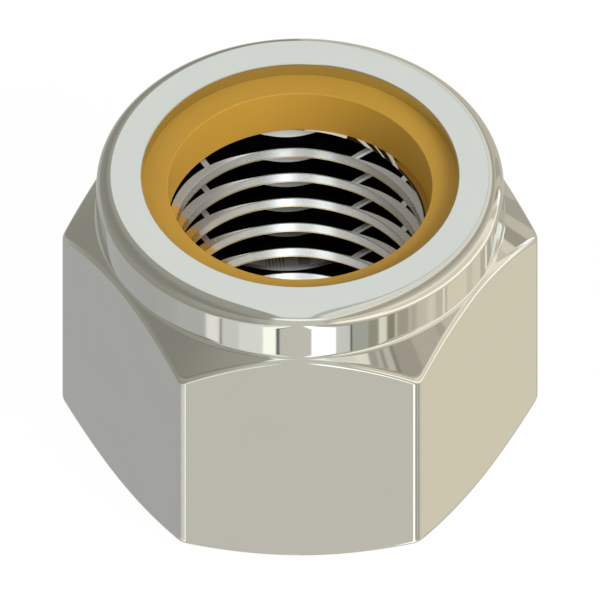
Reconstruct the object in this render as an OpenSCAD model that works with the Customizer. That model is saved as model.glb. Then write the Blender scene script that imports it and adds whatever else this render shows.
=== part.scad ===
/* [Hexagon] */
// Width across two opposite flats
across_flats = 23.7; // [23.7:0.1:25]
// Rounding of the six upright corners
corner_round = 0.7; // [0.2:0.1:1.5]
// Height of a flat at its middle, from the bearing face to the shoulder chamfer
flat_height = 15.95; // [12:0.05:16.5]

/* [Chamfers] */
// Diameter of the flat bearing face
bearing_d = 22.5; // [20:0.1:23.4]
// Slope of the chamfer round the bearing face, in degrees from level
bearing_slope = 30; // [15:1:40]
// Slope of the chamfer on the shoulders under the collar, in degrees from level
shoulder_slope = 41.5; // [30:0.5:48]

/* [Collar and lip] */
// Wall of the collar round the insert
collar_wall = 1.3; // [0.95:0.05:1.45]
// Thickness of the lip that is rolled in over the insert
lip_thickness = 0.9; // [0.6:0.05:1.4]
// How far the lip reaches in over the insert
lip_reach = 1.25; // [0.6:0.05:1.9]
// Outer rounding of the rolled lip
lip_round = 0.9; // [0.3:0.05:1]
// Hollow rounding where the collar meets the shoulders
collar_fillet = 0.4; // [0.2:0.05:0.6]

/* [Locking insert] */
// Outer diameter of the insert
insert_d = 20.6; // [20:0.1:20.8]
// Bore of the insert, between the minor and the major diameter of the thread
insert_bore_d = 15.1; // [14.4:0.1:15.8]
// Thickness of the insert
insert_thickness = 2.95; // [2.4:0.05:4]
// Rounding of the insert's edges
insert_edge = 0.15; // [0.05:0.05:0.4]
// Gap between the insert and the collar wall, all round
insert_gap = 0.05; // [0.02:0.01:0.2]

/* [Thread] */
// Nominal diameter of the bolt
bolt_d = 16; // [15.9:0.05:16.6]
// Minor diameter of the thread, which is the bore that it is cut in
thread_minor_d = 14.2; // [13.6:0.05:14.4]
// Height of the threaded stretch, from the bearing face to the insert's seat
seat_height = 15.45; // [14.6:0.05:18]
// How much wider than the bolt the countersink opens
countersink_over = 1; // [0.4:0.1:2]
// Slope of the countersink, in degrees from level
countersink_slope = 30; // [20:1:50]

/* [Hidden] */
$fn = 96;
corner_steps = 6;
fillet_steps = 8;
overrun = 1;

flat_r = across_flats / 2;
corner_r = flat_r / cos(30);
blank_r = corner_r + overrun;

pocket_r = insert_d / 2 + insert_gap;
collar_r = pocket_r + collar_wall;
lip_r = insert_d / 2 - lip_reach;
lip_under = seat_height + insert_thickness;
nut_height = lip_under + lip_thickness;

minor_r = thread_minor_d / 2;
countersink_r = (bolt_d + countersink_over) / 2;
countersink_depth = (countersink_r - minor_r) * tan(countersink_slope);

// Points along an arc, from one angle to another
function arc(centre, r, from, to, steps) =
    [for (i = [0:steps]) let (a = from + (to - from) * i / steps) centre + r * [cos(a), sin(a)]];

// Height of the shoulder cone and of the bearing cone at a distance from the axis
function shoulder_z(r) = flat_height - (r - flat_r) * tan(shoulder_slope);
function bearing_z(r) = (r - bearing_d / 2) * tan(bearing_slope);

// The hexagon seen from above, a corner on the X axis, its corners rounded
hexagon = [
    for (corner = [0:60:300])
        each arc(
            (corner_r - corner_round / cos(30)) * [cos(corner), sin(corner)],
            corner_round, corner - 30, corner + 30, corner_steps
        )
];

// Centre of the hollow fillet that touches the shoulder cone and the collar wall
fillet_r = collar_r + collar_fillet;
fillet_z = shoulder_z(fillet_r) + collar_fillet / cos(shoulder_slope);

// Half section of the turned outside: bearing chamfer, shoulders, collar and rolled lip
turned_outside = [
    [0, 0],
    [bearing_d / 2, 0],
    [blank_r, bearing_z(blank_r)],
    [blank_r, shoulder_z(blank_r)],
    each arc([fillet_r, fillet_z], collar_fillet, 270 - shoulder_slope, 180, fillet_steps),
    each arc([collar_r - lip_round, nut_height - lip_round], lip_round, 0, 90, fillet_steps),
    [0, nut_height]
];

// Half section of the hollow: countersink, tapping bore, insert pocket and mouth of the lip
hollow = [
    [0, -overrun],
    [countersink_r, -overrun],
    [countersink_r, 0],
    [minor_r, countersink_depth],
    [minor_r, seat_height],
    [pocket_r, seat_height],
    [pocket_r, lip_under],
    [lip_r, lip_under],
    [lip_r, nut_height + overrun],
    [0, nut_height + overrun]
];

// Half section of the insert, with all four edges rounded
insert_in = insert_bore_d / 2 + insert_edge;
insert_out = insert_d / 2 - insert_edge;
insert_low = seat_height + insert_edge;
insert_high = lip_under - insert_edge;
insert_section = [
    each arc([insert_in, insert_low], insert_edge, 180, 270, fillet_steps),
    each arc([insert_out, insert_low], insert_edge, 270, 360, fillet_steps),
    each arc([insert_out, insert_high], insert_edge, 0, 90, fillet_steps),
    each arc([insert_in, insert_high], insert_edge, 90, 180, fillet_steps)
];

// One steel piece: hexagon, shoulders, collar and the lip rolled in over the insert
module nut_body() {
    color([0.8, 0.81, 0.78])
        difference() {
            intersection() {
                linear_extrude(nut_height) polygon(hexagon);
                rotate_extrude() polygon(turned_outside);
            }
            rotate_extrude() polygon(hollow);
        }
}

// The nylon ring that sits on its seat under the lip and grips the bolt
module locking_insert() {
    color([0.74, 0.57, 0.24])
        rotate_extrude() polygon(insert_section);
}

nut_body();
locking_insert();
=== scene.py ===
import math
import bpy
import numpy as np
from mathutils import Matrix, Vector


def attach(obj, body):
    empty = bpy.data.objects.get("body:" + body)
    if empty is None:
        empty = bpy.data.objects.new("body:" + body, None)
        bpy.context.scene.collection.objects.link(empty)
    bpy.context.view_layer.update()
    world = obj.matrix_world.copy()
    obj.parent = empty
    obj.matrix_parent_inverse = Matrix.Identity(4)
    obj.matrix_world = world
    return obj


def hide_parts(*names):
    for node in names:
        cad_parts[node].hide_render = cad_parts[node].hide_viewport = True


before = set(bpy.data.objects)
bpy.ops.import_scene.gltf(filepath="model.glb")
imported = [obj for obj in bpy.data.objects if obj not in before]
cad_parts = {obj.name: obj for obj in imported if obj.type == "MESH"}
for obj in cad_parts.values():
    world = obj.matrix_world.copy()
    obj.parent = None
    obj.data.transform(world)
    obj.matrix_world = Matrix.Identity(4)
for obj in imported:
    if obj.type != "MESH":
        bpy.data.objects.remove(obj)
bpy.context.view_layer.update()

# Sizes in millimetres, as in the CAD source. Meshes are scaled to metres when they are made.
MM = 0.001
FLAT_R = 11.85
CORNER_ROUND = 0.7
FLAT_HEIGHT = 15.95
BEARING_R = 11.25
BEARING_SLOPE = math.radians(30)
SHOULDER_SLOPE = math.radians(41.5)
EDGE_ROUND = 0.7
COLLAR_R = 11.65
COLLAR_FILLET = 0.4
LIP_ROUND = 0.9
LIP_R = 9.05
LIP_EDGE = 0.08
LIP_UNDER = 18.4
TOP = 19.3
POCKET_R = 10.35
INSERT_R = 10.3
INSERT_BORE_R = 7.55
INSERT_EDGE = 0.06
SEAT = 15.45

# The M16 x 2 thread. Its groove runs out through the insert's seat.
PITCH = 2.0
BOLT_R = 8.0
CREST_R = 7.1
PITCH_R = BOLT_R - PITCH * 3 * math.sqrt(3) / 16
ROOT_R = BOLT_R + 0.05
CREST_HALF = PITCH / 4 - (PITCH_R - CREST_R) * math.tan(math.radians(30))
CREST_ROUND = 0.07
ROOT_ROUND = 0.12
FLANK = math.radians(60)
CREST_AT_BACK = 14.06
SINK_R = 8.5
SINK_SLOPE = math.radians(30)

# Rounding of the bearing face's two rims, and how far its centre stands back
RIM_ROUND = 0.15
RIM_BACK = 0.04

# Places on level faces between their rims, where the normals stand upright
FACE_MIDDLE_R = 10.0
LIP_MIDDLE_R = 9.9
SEAT_MIDDLE_R = 9.0
BESIDE_CORNER = 0.05

# On the edge of a flat the normals turn towards the round parts: the lower, the earlier
EARLY_TURN = 0.7

# How finely the round parts are divided, first round the axis and then along the section
CORNER_STEPS = 8
FLAT_STEPS = 36
RING_STEPS = 160
FOOT_STEPS = 7
CROWN_STEPS = 9
FILLET_STEPS = 8

# Points of a column nearer than this are one point
SAME_POINT = 0.0002

# Width of the flat of the seat next to the thread
SEAT_LAND = 0.03

# The two finishes of the steel, by their place in its list of materials
SKIN = 0
THREAD = 1

# The direction of the axis
UP = np.array([0.0, 0.0, 1.0])

# The view: its tilt in degrees, the height it aims at in millimetres, its scale, and how far
# away it is in metres
VIEW_TILT = 44.66
VIEW_AIM = 9.267
PICTURE_WIDTH = 600
PIXELS_PER_MM = 17.5
VIEW_DISTANCE = 0.1


class Wire:
    """A number out of a shader node. Operators add Math nodes."""

    def __init__(self, nodes, socket):
        self.nodes = nodes
        self.socket = socket

    def math(self, operation, *others):
        """A Math node on this number and others."""
        wires = dict(enumerate((self, *others)))
        return self.nodes.wire("ShaderNodeMath", 0, {"operation": operation}, wires)

    def __add__(self, other):
        return self.math("ADD", other)

    def __radd__(self, other):
        return self.math("ADD", other)

    def __sub__(self, other):
        return self.math("SUBTRACT", other)

    def __rsub__(self, other):
        return self.nodes.wire("ShaderNodeMath", 0, {"operation": "SUBTRACT"}, {0: other, 1: self})

    def __mul__(self, other):
        return self.math("MULTIPLY", other)

    def __rmul__(self, other):
        return self.math("MULTIPLY", other)

    def rise(self, low, high):
        """0 below low, 1 above high, and a smooth step between them."""
        return self.nodes.wire(
            "ShaderNodeMapRange",
            0,
            {"interpolation_type": "SMOOTHSTEP"},
            {0: self, 1: low, 2: high},
        )

    def band(self, low, high, soft):
        """1 from low to high, 0 outside, with soft edges."""
        return self.rise(low - soft, low + soft) * (1 - self.rise(high - soft, high + soft))


class Nodes:
    """The node tree of a material or of the world."""

    def __init__(self, owner):
        owner.use_nodes = True
        self.tree = owner.node_tree
        self.tree.nodes.clear()

    def node(self, kind, settings=None, inputs=None):
        """Add a node. Its settings come first, then the values or links of its sockets."""
        made = self.tree.nodes.new(kind)
        for name, value in (settings or {}).items():
            setattr(made, name, value)
        for key, value in (inputs or {}).items():
            if isinstance(value, Wire):
                self.tree.links.new(value.socket, made.inputs[key])
            else:
                made.inputs[key].default_value = value
        return made

    def wire(self, kind, output, settings=None, inputs=None):
        """Add a node and take one of its outputs."""
        return Wire(self, self.node(kind, settings, inputs).outputs[output])

    def blend(self, first, second, mask):
        """A colour that goes from first to second as mask goes from 0 to 1."""
        settings = {"data_type": "RGBA"}
        return self.wire("ShaderNodeMix", 2, settings, {0: mask, 6: first, 7: second})

    def place(self):
        """The point on the object, in millimetres, as three numbers."""
        point = self.wire("ShaderNodeTexCoord", "Object")
        axes = [self.wire("ShaderNodeSeparateXYZ", axis, None, {0: point}) for axis in range(3)]
        return [axis * (1 / MM) for axis in axes]

    def noise(self, scale, detail):
        """Smooth noise from 0 to 1, with a scale counted per metre."""
        point = self.wire("ShaderNodeTexCoord", "Object")
        inputs = {"Vector": point, "Scale": scale, "Detail": detail, "Roughness": 0.5}
        return self.wire("ShaderNodeTexNoise", "Fac", None, inputs)

    def bump(self, height, distance, strength):
        """The normal of a skin with small heights."""
        inputs = {"Height": height, "Distance": distance, "Strength": strength}
        return self.wire("ShaderNodeBump", 0, None, inputs)

    def finish(self, kind, shader):
        """Join a shader to an output node."""
        self.node(kind, None, {0: shader})


def rgb(red, green, blue):
    """A colour as sockets take it."""
    return (red, green, blue, 1.0)


def nut_steel():
    """Bright steel, polished almost to a mirror, with the faint haze of handling."""
    material = bpy.data.materials.new("nut_steel")
    nodes = Nodes(material)
    x, y, z = nodes.place()
    haze = nodes.noise(210.0, 3.0)
    grain = nodes.noise(2600.0, 2.0)

    # Faint rings of the lathe on the top of the lip
    radius = (x * x + y * y).math("SQRT")
    turning = (radius * 9.0).math("SINE") * 0.5 + 0.5
    turned = z.rise(TOP - 0.05, TOP)
    roughness = 0.03 + haze * 0.03 + grain * 0.015 + turned * (0.04 + turning * 0.02)
    colour = nodes.blend(rgb(0.655, 0.665, 0.625), rgb(0.69, 0.695, 0.65), haze)
    shader = nodes.wire(
        "ShaderNodeBsdfPrincipled",
        0,
        None,
        {"Base Color": colour, "Metallic": 1.0, "Roughness": roughness},
    )
    nodes.finish("ShaderNodeOutputMaterial", shader)
    return material


def crest_colour(nodes, turn, away, share, radius, z):
    """Painted reflections and shade on the crests: bright at the back, greyer at the sides, a painted
    brown reflection of the ring along the lower edge, and a painted amber reflection of the ring low on
    the left.
    """
    # Painted shade on the left: lighter grey on the crest, darker grey where it runs onto the flank
    ledge = radius.rise(CREST_R + 0.01, CREST_R + 0.06)
    left = nodes.blend(rgb(0.74, 0.75, 0.74), rgb(0.47, 0.475, 0.47), ledge)
    # Painted highlight: bright cool white on the crests at the back, greyer to the right
    crest = nodes.blend(rgb(0.93, 0.98, 1.0), rgb(0.67, 0.68, 0.67), turn.rise(13, 19))
    crest = nodes.blend(crest, left, 1 - turn.rise(-42, -24))
    # Painted amber reflection of the ring, low on the left
    amber = (turn + z * 4.7 + 4.6).band(-11, 0, 1.5)
    crest = nodes.blend(crest, rgb(0.75, 0.44, 0.1), amber)
    # Painted brown reflection of the ring along each crest's lower edge
    edge = nodes.blend(rgb(0.8, 0.7, 0.5), rgb(0.62, 0.45, 0.2), away.rise(0.2, 0.5))
    return nodes.blend(crest, edge, share.band(0.815, 0.885, 0.008))


def groove_glints(turn, share, above):
    """Painted glints and highlights in the dark groove: slanting bright strokes, and a bright spot in
    each turn at the back.
    """
    # Slanting strokes of painted glint across the groove
    slant = turn - share * 24
    glint_strokes = slant.band(19.4, 21.3, 0.2) * 0.6 + slant.band(21.3, 22.8, 0.2)
    glint_strokes = glint_strokes + turn.band(50.5, 53.5, 0.3) + turn.band(-47, -44, 0.3) * 0.5

    # One painted highlight spot in each turn, with a curved lower edge
    off = turn + 5
    curve = off * off * (1 / 420)
    lit_spots = (share - 0.345 - curve * 0.28).rise(0, 0.006) * 0.9

    # The lowest painted spot that can be seen is larger, a painted reflection with dark bars on its left
    # half
    deep = above.band(-4.86, -4.5, 0.004)
    spot = (share - 0.21 - curve * 0.2).rise(0, 0.006)
    inner = (share - 0.262 - curve * 0.2).rise(0, 0.004)
    bars = turn.band(-14.5, -6, 0.3) * ((turn * 4.2).math("SINE") * 0.5 + 0.5)
    inner = inner * (1 - bars * 0.8) * (1 - turn.band(-0.7, 4.3, 0.2) * 0.7)
    lit_spots = lit_spots + deep * (spot * 0.55 + inner * 0.45 - lit_spots)
    return (glint_strokes + lit_spots * (1 - share.rise(0.47, 0.49))).math("MINIMUM", 1)


def seat_colour(nodes, turn, radius):
    """The face that the seat cuts across the thread: painted near black as shade, with painted glints,
    and a painted amber reflection of the ring on the right.
    """
    # Painted amber reflection of the ring on the right
    glow = turn.rise(46, 50) * radius.rise(CREST_R + 0.09, CREST_R + 0.13)
    face = nodes.blend(rgb(0.01, 0.009, 0.008), rgb(0.4, 0.23, 0.035), glow)
    # Slanting painted glints across the face
    slant = turn - (INSERT_BORE_R - radius) * 18
    seat_glints = turn.band(2, 21, 0.3) + slant.band(25.5, 29.5, 0.3)
    seat_glints = seat_glints + slant.band(34.2, 35.6, 0.2) + slant.band(40.5, 44.5, 0.3)
    return nodes.blend(face, rgb(0.95, 0.97, 0.95), seat_glints)


def thread_steel():
    """The thread: bright crests with painted reflections and shade, grooves painted near black as shade,
    and painted glints in them.
    """
    material = bpy.data.materials.new("thread_steel")
    nodes = Nodes(material)
    x, y, z = nodes.place()
    radius = (x * x + y * y).math("SQRT")
    away = (x * radius.math("POWER", -1)).math("ABSOLUTE")

    # Degrees round from the back wall, and the place within one pitch, 0 at the middle of a crest
    turn = x.math("ARCTAN2", y) * math.degrees(1)
    above = (z - CREST_AT_BACK) * (1 / PITCH) + turn * (1 / 360)
    share = above.math("FRACT")

    # At the sides the bright crest colour, a painted reflection, reaches onto the flanks next to the
    # crests
    reflection_reach = away.rise(0.3, 0.95) * 0.43
    groove = radius.rise(reflection_reach + (CREST_R + 0.008), reflection_reach + (CREST_R + 0.03))
    # Painted glints in the groove, over a groove painted near black as shade
    bright = groove_glints(turn, share, above)
    dark = nodes.blend(rgb(0.001, 0.001, 0.001), rgb(0.85, 0.87, 0.86), bright)
    colour = nodes.blend(crest_colour(nodes, turn, away, share, radius, z), dark, groove)
    matt = (1 - groove) * (0.1 + away.rise(0.2, 0.6) * 0.2) + bright * groove
    cut = z.rise(SEAT - 0.004, SEAT - 0.001)
    colour = nodes.blend(colour, seat_colour(nodes, turn, radius), cut)
    metal = 1 - cut * 0.9 - (1 - cut) * matt

    # The countersink at the bottom is bare bright steel
    sunk = 1 - (radius + z * (1 / math.tan(SINK_SLOPE))).rise(SINK_R + 0.01, SINK_R + 0.06)
    colour = nodes.blend(colour, rgb(0.66, 0.67, 0.63), sunk)
    metal = metal.math("MAXIMUM", sunk)
    roughness = 0.22 + nodes.noise(700.0, 3.0) * 0.08
    shader = nodes.wire(
        "ShaderNodeBsdfPrincipled",
        0,
        None,
        {"Base Color": colour, "Metallic": metal, "Roughness": roughness},
    )
    nodes.finish("ShaderNodeOutputMaterial", shader)
    return material


def amber_nylon():
    """Smooth amber nylon with a satin skin, faintly cloudy."""
    material = bpy.data.materials.new("amber_nylon")
    nodes = Nodes(material)
    cloud = nodes.noise(160.0, 3.0)
    skin = nodes.noise(4200.0, 2.0)
    colour = nodes.blend(rgb(0.53, 0.295, 0.035), rgb(0.59, 0.335, 0.046), cloud)
    shader = nodes.wire(
        "ShaderNodeBsdfPrincipled",
        0,
        None,
        {
            "Base Color": colour,
            "Roughness": 0.45 + skin * 0.1,
            "Specular IOR Level": 0.3,
            "Subsurface Weight": 0.08,
            "Subsurface Radius": (0.0012, 0.0007, 0.0002),
            "Normal": nodes.bump(skin, 0.00001, 0.4),
        },
    )
    nodes.finish("ShaderNodeOutputMaterial", shader)
    return material


def point(r, z, angle):
    """A point of a turned section: radius, height, and the angle of its normal from straight out."""
    return (r, z, math.cos(angle), math.sin(angle))


def arc(r, z, radius, first, last, steps):
    """Points along an arc of a section, from one angle to another."""
    made = []
    for step in range(steps + 1):
        angle = first + (last - first) * step / steps
        made.append(point(r + radius * math.cos(angle), z + radius * math.sin(angle), angle))
    return made


def columns():
    """(angle, radius of the hexagon, direction of the flat's normal) round the rounded hexagon."""
    made = []
    centre = (FLAT_R - CORNER_ROUND) / math.cos(math.radians(30))
    for corner in range(0, 360, 60):
        at = math.radians(corner)
        for step in range(CORNER_STEPS + 1):
            facing = at + math.radians(-30 + 60 * step / CORNER_STEPS)
            x = centre * math.cos(at) + CORNER_ROUND * math.cos(facing)
            y = centre * math.sin(at) + CORNER_ROUND * math.sin(facing)
            angle = at + (math.atan2(y, x) - at + math.pi) % math.tau - math.pi
            made.append((angle, math.hypot(x, y), facing))
        past = made[-1][0] - at
        facing = at + math.radians(30)
        for step in range(1, FLAT_STEPS):
            angle = at + past + (math.radians(60) - 2 * past) * step / FLAT_STEPS
            made.append((angle, FLAT_R / math.cos(angle - facing), facing))
    return made


def shoulder_z(r):
    """Height of the shoulder cone at a distance from the axis."""
    return FLAT_HEIGHT - (r - FLAT_R) * math.tan(SHOULDER_SLOPE)


def lean(angle, facing, r, z, tilt, share):
    """A point of the outside: its normal tilts up and turns from the flat's direction to the column's."""
    turn = facing + (angle - facing) * share
    return (r, z, math.cos(tilt) * math.cos(turn), math.cos(tilt) * math.sin(turn), math.sin(tilt))


def outside(angle, hexagon, facing):
    """The section through the outside of the nut at one angle, from the bearing face to the collar."""
    down = math.radians(90) - BEARING_SLOPE
    up = math.radians(90) - SHOULDER_SLOPE
    made = []

    # The bearing chamfer, and the rounding from it to the flat
    core = hexagon - EDGE_ROUND
    foot = (core - BEARING_R) * math.tan(BEARING_SLOPE) + EDGE_ROUND / math.cos(BEARING_SLOPE)
    start = core + EDGE_ROUND * math.cos(down)
    for share in (0.02, 0.5):
        r = BEARING_R + (start - BEARING_R) * share
        made.append(lean(angle, facing, r, (r - BEARING_R) * math.tan(BEARING_SLOPE), -down, 1))
    for step in range(FOOT_STEPS + 1):
        tilt = -down * (1 - step / FOOT_STEPS)
        r = core + EDGE_ROUND * math.cos(tilt)
        z = foot + EDGE_ROUND * math.sin(tilt)
        made.append(lean(angle, facing, r, z, tilt, -tilt / down))

    # The rounding from the flat to the shoulder. Where the flat comes so near to the collar that
    # it leaves no shoulder, the rounding runs straight into the hollow fillet.
    hollow_r = COLLAR_R + COLLAR_FILLET
    hollow_z = shoulder_z(hollow_r) + COLLAR_FILLET / math.cos(SHOULDER_SLOPE)
    both = EDGE_ROUND + COLLAR_FILLET
    ledge = hexagon - COLLAR_R
    if ledge < both * (1 - math.cos(up)):
        swing = math.acos(1 - ledge / both)
        crown = hollow_z - both * math.sin(swing)
    else:
        swing = up
        crown = shoulder_z(core) - EDGE_ROUND / math.cos(SHOULDER_SLOPE)
    for step in range(CROWN_STEPS + 1):
        tilt = swing * step / CROWN_STEPS
        r = core + EDGE_ROUND * math.cos(tilt)
        z = crown + EDGE_ROUND * math.sin(tilt)
        made.append(lean(angle, facing, r, z, tilt, (tilt / up) ** EARLY_TURN))

    # The hollow fillet up to the collar
    turned = (swing / up) ** EARLY_TURN
    for step in range(FILLET_STEPS + 1):
        tilt = swing * (1 - step / FILLET_STEPS)
        r = hollow_r - COLLAR_FILLET * math.cos(tilt)
        z = hollow_z - COLLAR_FILLET * math.sin(tilt)
        share = turned + (1 - turned) * step / FILLET_STEPS
        made.append(lean(angle, facing, r, z, tilt, share))
    return made


def thread_rows():
    """One pitch of the thread's section: place along the axis, radius, and slope against the axis."""
    run = CREST_ROUND * math.tan(FLANK / 2)
    half = []
    for tilt in (0, 0.5, 1):
        slope = FLANK * tilt
        along = CREST_HALF - run + CREST_ROUND * math.sin(slope)
        half.append((along, CREST_R + CREST_ROUND * (1 - math.cos(slope)), slope))
    root_z = ROOT_ROUND * math.sin(FLANK)
    root_r = ROOT_R - ROOT_ROUND * (1 - math.cos(FLANK))
    flank_end = CREST_HALF + (root_r - CREST_R) / math.tan(FLANK)
    for share in (1 / 3, 2 / 3, 1):
        along = half[2][0] + (flank_end - half[2][0]) * share
        half.append((along, half[2][1] + (root_r - half[2][1]) * share, FLANK))
    for tilt in (0.5, 0):
        slope = FLANK * tilt
        along = flank_end + root_z - ROOT_ROUND * math.sin(slope)
        half.append((along, ROOT_R - ROOT_ROUND * (1 - math.cos(slope)), slope))
    return half + [(PITCH - along, r, -slope) for along, r, slope in reversed(half)]


def thread_column(angle, rows, turns):
    """The thread at one angle, going up: heights, radii, and the normals out, round and up."""
    along, radii, slopes = (np.array(values) for values in zip(*rows))
    before = np.concatenate([along[-1:] - PITCH, along, along[:1] + PITCH])
    wide = np.concatenate([radii[-1:], radii, radii[:1]])
    lean_by = np.concatenate([slopes[-1:], slopes, slopes[:1]])

    # A right-hand thread: each crest climbs as it goes round
    rise = CREST_AT_BACK + PITCH * (angle / math.tau - 0.25)
    first = rise - PITCH * (turns - 2)
    places = np.concatenate([first + PITCH * turn + along for turn in range(turns)])

    # What would lie under the bearing face or over the seat is laid on that level
    z = np.clip(places, 0.0, SEAT)
    u = (z - rise) % PITCH
    r = np.interp(u, before, wide)
    slope = np.interp(u, before, lean_by)

    # The countersink cuts off what is inside its cone
    sink = SINK_R - z / math.tan(SINK_SLOPE)
    sunk = sink > r
    r = np.where(sunk, sink, r)
    slope = np.where(sunk, -FLANK, slope)

    # The normal leans by the slope of the section, and sideways as the thread climbs
    wind = np.where(sunk, 0.0, np.tan(slope) * PITCH / math.tau / r)
    long = np.sqrt(1 + np.tan(slope) ** 2 + wind**2)
    return z, r, -1 / long, -wind / long, np.tan(slope) / long


def put_mesh(name, corners, faces, normals, body, materials, face_finish=None):
    """A smooth mesh with its own normals, riding on a body."""
    mesh = bpy.data.meshes.new(name)
    mesh.from_pydata([tuple(corner * MM) for corner in corners], [], faces)
    mesh.update()
    for material in materials:
        mesh.materials.append(material)
    mesh.polygons.foreach_set("use_smooth", [True] * len(faces))
    if face_finish is not None:
        mesh.polygons.foreach_set("material_index", face_finish)
    mesh.normals_split_custom_set_from_vertices([tuple(normal) for normal in normals])
    piece = bpy.data.objects.new(name, mesh)
    bpy.context.scene.collection.objects.link(piece)
    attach(piece, body)
    return piece


def section_inside():
    """The turned parts of the steel's section: first the bearing face, then collar, lip and pocket."""
    down = math.radians(90) - BEARING_SLOPE
    sink_tilt = math.radians(-180) + math.radians(90) - SINK_SLOPE
    face = arc(SINK_R + RIM_BACK, RIM_ROUND, RIM_ROUND, sink_tilt, math.radians(-90), steps=3)
    face.append(point(FACE_MIDDLE_R, 0.0, math.radians(-90)))
    face += arc(BEARING_R - RIM_BACK, RIM_ROUND, RIM_ROUND, math.radians(-90), -down, steps=3)
    ring = arc(COLLAR_R - LIP_ROUND, TOP - LIP_ROUND, LIP_ROUND, 0, math.radians(90), steps=14)
    ring.append(point(LIP_MIDDLE_R, TOP, math.radians(90)))
    ring += arc(LIP_R + LIP_EDGE, TOP - LIP_EDGE, LIP_EDGE, math.radians(90), math.radians(180), steps=5)
    ring += [
        point(LIP_R, LIP_UNDER, math.radians(180)),
        point(LIP_R + BESIDE_CORNER, LIP_UNDER, math.radians(-90)),
        point(POCKET_R, LIP_UNDER, math.radians(180)),
        point(POCKET_R, SEAT, math.radians(180)),
        point(POCKET_R - BESIDE_CORNER, SEAT, math.radians(90)),
        point(SEAT_MIDDLE_R, SEAT, math.radians(90)),
    ]
    return face, ring


def spoke(angle):
    """The direction straight out from the axis at an angle."""
    return np.array([math.cos(angle), math.sin(angle), 0.0])


def placed(section, angle):
    """The points of a turned section at one angle, each with its normal."""
    across = spoke(angle)
    return [(r * across + z * UP, nr * across + nz * UP) for r, z, nr, nz in section]


def skin_column(angle, hexagon, facing, face, ring):
    """Points and normals at one angle, from the countersink's rim round the outside to the seat."""
    across = spoke(angle)
    sides = outside(angle, hexagon, facing)
    flank = [(r * across + z * UP, np.array([nx, ny, nz])) for r, z, nx, ny, nz in sides]
    return placed(face, angle) + flank + placed(ring, angle)


def bore_column(angle, rows, turns):
    """Points and normals at one angle, from the seat down the thread to the countersink."""
    across = spoke(angle)
    along = spoke(angle + math.radians(90))
    z, r, nr, nt, nz = thread_column(angle, rows, turns)
    bore = [((r[-1] + SEAT_LAND) * across + SEAT * UP, UP)]
    for k in range(len(z) - 1, -1, -1):
        bore.append((r[k] * across + z[k] * UP, nr[k] * across + nt[k] * along + nz[k] * UP))
    return bore


def steel_nut():
    """The whole steel piece: hexagon, chamfers, collar, rolled lip, insert pocket and thread."""
    face, ring = section_inside()
    rows = thread_rows()
    sides = columns()

    # More turns than the bore is long, so that they reach both of its ends at every angle
    turns = math.ceil(SEAT / PITCH) + 3
    points, normals = [], []

    def lay(column):
        """Add a column's points, only one where several coincide, and give their numbers."""
        line, last = [], None
        for corner, normal in column:
            if last is None or np.abs(corner - last).max() > SAME_POINT:
                points.append(corner)
                normals.append(normal)
                last = corner
            line.append(len(points) - 1)
        return line

    grid, bores = [], []
    for angle, hexagon, facing in sides:
        grid.append(lay(skin_column(angle, hexagon, facing, face, ring)))
        bores.append(lay(bore_column(angle, rows, turns)))
    faces, finish = [], []

    def join(a, b, c, d, kind):
        """A face between four points, or three where two of them are one."""
        corners = list(dict.fromkeys((a, b, c, d)))
        if len(corners) > 2:
            faces.append(corners)
            finish.append(kind)

    count = len(sides)
    for j in range(count):
        here, there = grid[j], grid[(j + 1) % count]
        for k in range(len(here) - 1):
            join(here[k], there[k], there[k + 1], here[k + 1], SKIN)

        # The last column meets the first one a whole pitch further along the thread
        shift = 0 if j + 1 < count else len(rows)
        here, there = bores[j], bores[(j + 1) % count]
        last = len(here) - 1
        join(grid[j][-1], grid[(j + 1) % count][-1], there[0], here[0], THREAD)
        for k in range(last):
            near, far = max(k - shift, 0), max(k + 1 - shift, 0)
            join(here[k], there[near], there[far], here[k + 1], THREAD)
        join(here[last], there[last], grid[(j + 1) % count][0], grid[j][0], THREAD)
    materials = [nut_steel(), thread_steel()]
    piece = put_mesh("steel_nut", points, faces, normals, "root", materials, finish)
    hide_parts("nut_body")
    return piece


def amber_ring():
    """The locking ring that shows inside the lip, turned, with rounded edges."""
    low, high = SEAT + INSERT_EDGE, LIP_UNDER - INSERT_EDGE
    inner, outer = INSERT_BORE_R + INSERT_EDGE, INSERT_R - INSERT_EDGE
    turn = math.radians(90)
    section = arc(inner, low, INSERT_EDGE, -2 * turn, -turn, steps=4)
    section += arc(outer, low, INSERT_EDGE, -turn, 0, steps=4)
    section += arc(outer, high, INSERT_EDGE, 0, turn, steps=4)
    section.append(point(SEAT_MIDDLE_R, LIP_UNDER, turn))
    section += arc(inner, high, INSERT_EDGE, turn, 2 * turn, steps=6)
    points, normals, faces = [], [], []
    size = len(section)
    for j in range(RING_STEPS):
        for corner, normal in placed(section, math.tau * j / RING_STEPS):
            points.append(corner)
            normals.append(normal)
        here, there = j * size, (j + 1) % RING_STEPS * size
        for k in range(size):
            after = (k + 1) % size
            faces.append([here + k, there + k, there + after, here + after])
    piece = put_mesh("amber_ring", points, faces, normals, "root", [amber_nylon()])
    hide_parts("locking_insert")
    return piece


def warm(light):
    """A warm white at a level of light."""
    return rgb(light, light * 0.92, light * 0.79)


def cool(light):
    """A nearly plain white at a level of light."""
    return rgb(light, light * 1.01, light * 0.98)


def dull(light):
    """A yellowish grey at a level of light."""
    return rgb(light, light * 0.975, light * 0.87)


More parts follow.
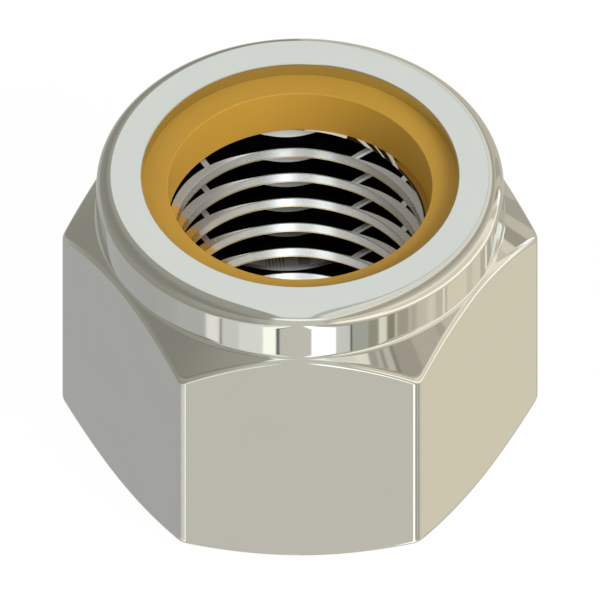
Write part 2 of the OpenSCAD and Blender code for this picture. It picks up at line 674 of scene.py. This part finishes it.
# Strips of the floor in front of the nut that the steel reflects, as (from, to, colour). They run
# towards the camera. From and to say how far to the right they lie, in heights above the floor.
FLOOR_STRIPS = [
    (-0.975, -0.829, cool(0.57)),
    (-0.829, -0.734, rgb(1.06, 1.03, 0.98)),
    (-0.734, -0.716, cool(0.3)),
    (-0.716, -0.58, cool(0.8)),
    (-0.58, -0.363, cool(0.95)),
    (-0.363, -0.236, rgb(1.4, 1.42, 1.28)),
    (-0.236, -0.202, cool(0.15)),
    (-0.202, 0.115, rgb(0.735, 0.706, 0.662)),
    (0.115, 0.351, cool(1.7)),
    (0.351, 0.484, cool(0.8)),
    (0.484, 0.503, cool(0.1)),
    (0.503, 0.637, rgb(0.5, 0.51, 0.47)),
    (0.637, 0.722, rgb(0.4, 0.39, 0.3)),
    (0.722, 0.781, rgb(1.0, 0.97, 0.84)),
    (0.781, 0.836, rgb(0.33, 0.31, 0.23)),
    (0.836, 0.846, warm(0.95)),
    (0.846, 0.915, warm(0.48)),
    (0.915, 0.924, warm(0.75)),
    (0.924, 0.95, warm(0.56)),
    (0.95, 0.99, warm(0.75)),
    (0.99, 1.005, warm(0.95)),
    (1.005, 1.2, warm(0.7)),
    (1.2, 1.5, warm(0.85)),
    (1.5, 3.3, rgb(1.42, 1.34, 1.2)),
]

# Strips of the ceiling, measured in the same way
CEILING_STRIPS = [
    (0.09, 0.16, cool(0.62)),
    (0.45, 0.56, rgb(1.04, 1.01, 0.9)),
    (0.56, 0.63, warm(0.5)),
    (0.63, 0.66, warm(0.68)),
    (0.66, 0.695, warm(0.42)),
    (0.695, 0.75, warm(0.72)),
    (0.75, 0.79, warm(0.34)),
    (0.79, 0.97, warm(0.48)),
    (0.97, 1.22, warm(0.6)),
    (1.22, 1.32, warm(0.52)),
    (1.32, 2.1, warm(0.72)),
    (2.1, 3.0, warm(0.92)),
]

# Upright panels to the right and behind, low down and at the height of the nut, in degrees
LOW_PANELS = [
    (84, 89, warm(0.7)),
    (89, 90.8, warm(1.05)),
    (90.8, 92.3, warm(0.62)),
    (92.3, 110, rgb(0.91, 0.83, 0.66)),
    (110, 115.5, warm(0.75)),
    (115.5, 124.5, rgb(0.862, 0.788, 0.634)),
    (124.5, 130.5, warm(0.6)),
    (130.5, 133, warm(1.1)),
    (133, 139, warm(0.52)),
    (139, 142, warm(0.85)),
    (142, 181, warm(0.63)),
]
WALL_PANELS = [
    (117, 122.6, warm(0.78)),
    (122.6, 126.8, warm(0.92)),
    (126.8, 132.4, warm(0.47)),
    (132.4, 136.4, warm(0.73)),
    (136.4, 143.5, warm(0.53)),
    (143.5, 181, warm(0.66)),
]


def striped(nodes, across, strips, soft, ground):
    """Strips laid over a ground colour."""
    for left, right, colour in strips:
        ground = nodes.blend(ground, colour, across.band(left, right, soft))
    return ground


def floor_colour(nodes, x, around, height, out_by):
    """The floor that the steel reflects: striped in front, plain behind, with panels on the right."""
    side = x.rise(-0.25, 0.25)
    floor = striped(nodes, out_by, FLOOR_STRIPS, 0.004, nodes.blend(cool(0.52), warm(0.93), side))
    floor = nodes.blend(floor, dull(0.39), 1 - out_by.rise(-1.15, -1.05))
    rear = nodes.blend(cool(0.52), rgb(0.8, 0.78, 0.7), x.rise(-0.35, -0.1))
    rear = nodes.blend(rear, warm(0.67), x.rise(0.05, 0.2))
    floor = nodes.blend(floor, rear, around.math("ABSOLUTE").rise(114, 128))
    shade = around.band(-150, -90, 3) * (1 - height.rise(-43, -40))
    floor = nodes.blend(floor, rgb(0.51, 0.506, 0.505), shade)
    low = striped(nodes, around, LOW_PANELS, 0.25, floor)
    return nodes.blend(floor, low, around.rise(83, 84) * (1 - height.rise(-43, -41)))


def wall_colour(nodes, around, height):
    """The walls that the steel reflects: grey on the left, and warm panels on the right."""
    wall = nodes.blend(dull(0.41), dull(0.34), height.rise(-12, 8))
    wall = nodes.blend(wall, dull(0.45), around.band(-60, 0, 15))
    wall = nodes.blend(wall, dull(0.56), around.band(-22, 0, 4))
    right = nodes.blend(warm(0.93), warm(1.1), height.rise(4, 10))
    right = nodes.blend(right, warm(1.14), around.rise(100, 110))
    near = nodes.blend(warm(1.36), warm(0.9), height.rise(0, 10))
    near = nodes.blend(near, warm(0.6), height.band(2, 7, 1.5))
    right = nodes.blend(near, right, around.rise(38, 48))
    right = striped(nodes, around, WALL_PANELS, 0.3, right)
    return nodes.blend(wall, right, around.rise(8, 20))


def ceiling_colour(nodes, out_by):
    """The ceiling that the steel reflects: grey on the left, bright overhead, striped on the right."""
    ceiling = nodes.blend(dull(0.315), dull(0.44), out_by.rise(-1.1, -0.35))
    ceiling = nodes.blend(ceiling, rgb(0.945, 0.985, 0.985), out_by.rise(-0.19, -0.165))
    ceiling = nodes.blend(ceiling, dull(0.94), out_by.rise(0.18, 0.3))
    return striped(nodes, out_by, CEILING_STRIPS, 0.005, ceiling)


def dome_colour(nodes, x, y, z):
    """What the steel reflects in each direction: floor, walls and ceiling, and cards before them."""
    # Degrees round from the front, degrees up, and how far to the right the strips lie
    around = x.math("ARCTAN2", y * -1) * math.degrees(1)
    height = z.math("ARCSINE") * math.degrees(1)
    out_by = x * z.math("ABSOLUTE").math("MAXIMUM", 0.02).math("POWER", -1)

    floor = floor_colour(nodes, x, around, height, out_by)
    dome = nodes.blend(floor, wall_colour(nodes, around, height), height.rise(-13, -9))
    dome = nodes.blend(dome, ceiling_colour(nodes, out_by), height.rise(19, 22))

    # Two bright cards behind on the right
    dome = nodes.blend(dome, cool(1.35), around.band(115, 125, 1) * height.band(-17, -10, 1.5))
    dome = nodes.blend(dome, cool(1.35), around.band(124, 131, 1) * height.band(-14, 4, 1.5))

    # Three cards in front, one above the other
    front = around.band(-14, 13, 3)
    dome = nodes.blend(dome, rgb(0.72, 0.715, 0.675), front * height.band(-14, 26, 1.5))
    dome = nodes.blend(dome, rgb(1.3, 1.3, 1.26), front * height.band(27, 39, 1.5))
    return nodes.blend(dome, cool(0.55), front * height.band(42, 49, 2))


def pale_floor():
    """The floor that the nut stands on. It looks white and keeps a soft shadow."""
    material = bpy.data.materials.new("pale_floor")
    nodes = Nodes(material)
    rays = nodes.node("ShaderNodeLightPath")
    seen = [Wire(nodes, rays.outputs[f"Is {kind} Ray"]) for kind in ("Camera", "Glossy", "Transmission")]

    # Nine tenths glow where it is looked at, and plain paper for the light that it throws back
    direct = seen[0].math("MAXIMUM", seen[1]).math("MAXIMUM", seen[2])
    paper = nodes.wire("ShaderNodeBsdfDiffuse", 0, None, {"Color": rgb(0.9, 0.9, 0.9)})
    glow = nodes.wire("ShaderNodeEmission", 0, None, {"Color": rgb(1, 1, 1), "Strength": 1.05})
    mixed = nodes.wire("ShaderNodeMixShader", 0, None, {0: direct * 0.9, 1: paper, 2: glow})
    nodes.finish("ShaderNodeOutputMaterial", mixed)
    mesh = bpy.data.meshes.new("floor")
    reach = 0.6
    corners = [(-reach, -reach, 0), (reach, -reach, 0), (reach, reach, 0), (-reach, reach, 0)]
    mesh.from_pydata(corners, [], [(0, 1, 2, 3)])
    mesh.materials.append(material)
    floor = bpy.data.objects.new("floor", mesh)
    bpy.context.scene.collection.objects.link(floor)
    floor.visible_glossy = False


def studio_dome():
    """The world: stripes and walls for the steel to reflect, and soft plain light for the rest."""
    world = bpy.data.worlds.new("studio_dome")
    bpy.context.scene.world = world
    nodes = Nodes(world)
    aim = nodes.wire("ShaderNodeTexCoord", "Generated")
    x, y, z = [nodes.wire("ShaderNodeSeparateXYZ", axis, None, {0: aim}) for axis in range(3)]
    rays = nodes.node("ShaderNodeLightPath")

    # Soft light for dull surfaces, more of it from the front
    in_front = (y * -1).rise(-0.2, 0.7) * (1 - z.rise(0.5, 0.9))
    light = nodes.blend(rgb(0.43, 0.43, 0.43), rgb(1.0, 1.0, 0.98), in_front)
    light = nodes.blend(light, dome_colour(nodes, x, y, z), Wire(nodes, rays.outputs["Is Glossy Ray"]))
    light = nodes.blend(light, rgb(1, 1, 1), Wire(nodes, rays.outputs["Is Camera Ray"]))
    background = nodes.wire("ShaderNodeBackground", 0, None, {0: light, 1: 1.0})
    nodes.finish("ShaderNodeOutputWorld", background)


# The point that the lamps aim at, and the lamps, as (name, place, width, power in watts, colour)
LAMP_AIM = Vector((0, 0, 0.012))
LAMPS = [
    ("key_lamp", (0.178, -0.178, 0.157), 0.17, 0.59, (1.0, 0.99, 0.97)),
    ("fill_lamp", (-0.18, -0.08, 0.22), 0.16, 0.06, (0.98, 0.99, 1.0)),
]


def lamps():
    """Round soft lamps that point at the nut."""
    for name, spot, size, power, colour in LAMPS:
        lamp = bpy.data.objects.new(name, bpy.data.lights.new(name, "AREA"))
        bpy.context.scene.collection.objects.link(lamp)
        lamp.data.shape = "DISK"
        lamp.data.size = size
        lamp.data.energy = power
        lamp.data.color = colour
        lamp.location = spot
        lamp.rotation_euler = (LAMP_AIM - Vector(spot)).to_track_quat("-Z", "Y").to_euler()
        lamp.visible_glossy = False


def camera():
    """A parallel view of the front flat from above."""
    view = bpy.data.objects.new("camera", bpy.data.cameras.new("camera"))
    bpy.context.scene.collection.objects.link(view)
    view.data.type = "ORTHO"
    view.data.ortho_scale = PICTURE_WIDTH / PIXELS_PER_MM * MM
    view.data.clip_start = 0.001
    view.data.clip_end = 2.0
    tilt = math.radians(VIEW_TILT)
    target = Vector((0, 0, VIEW_AIM * MM))
    view.location = target + VIEW_DISTANCE * Vector((0, -math.cos(tilt), math.sin(tilt)))
    view.rotation_euler = (math.radians(90) - tilt, 0, 0)
    bpy.context.scene.camera = view


steel_nut()
amber_ring()
pale_floor()
studio_dome()
lamps()
camera()
bpy.context.scene.view_settings.view_transform = "Standard"
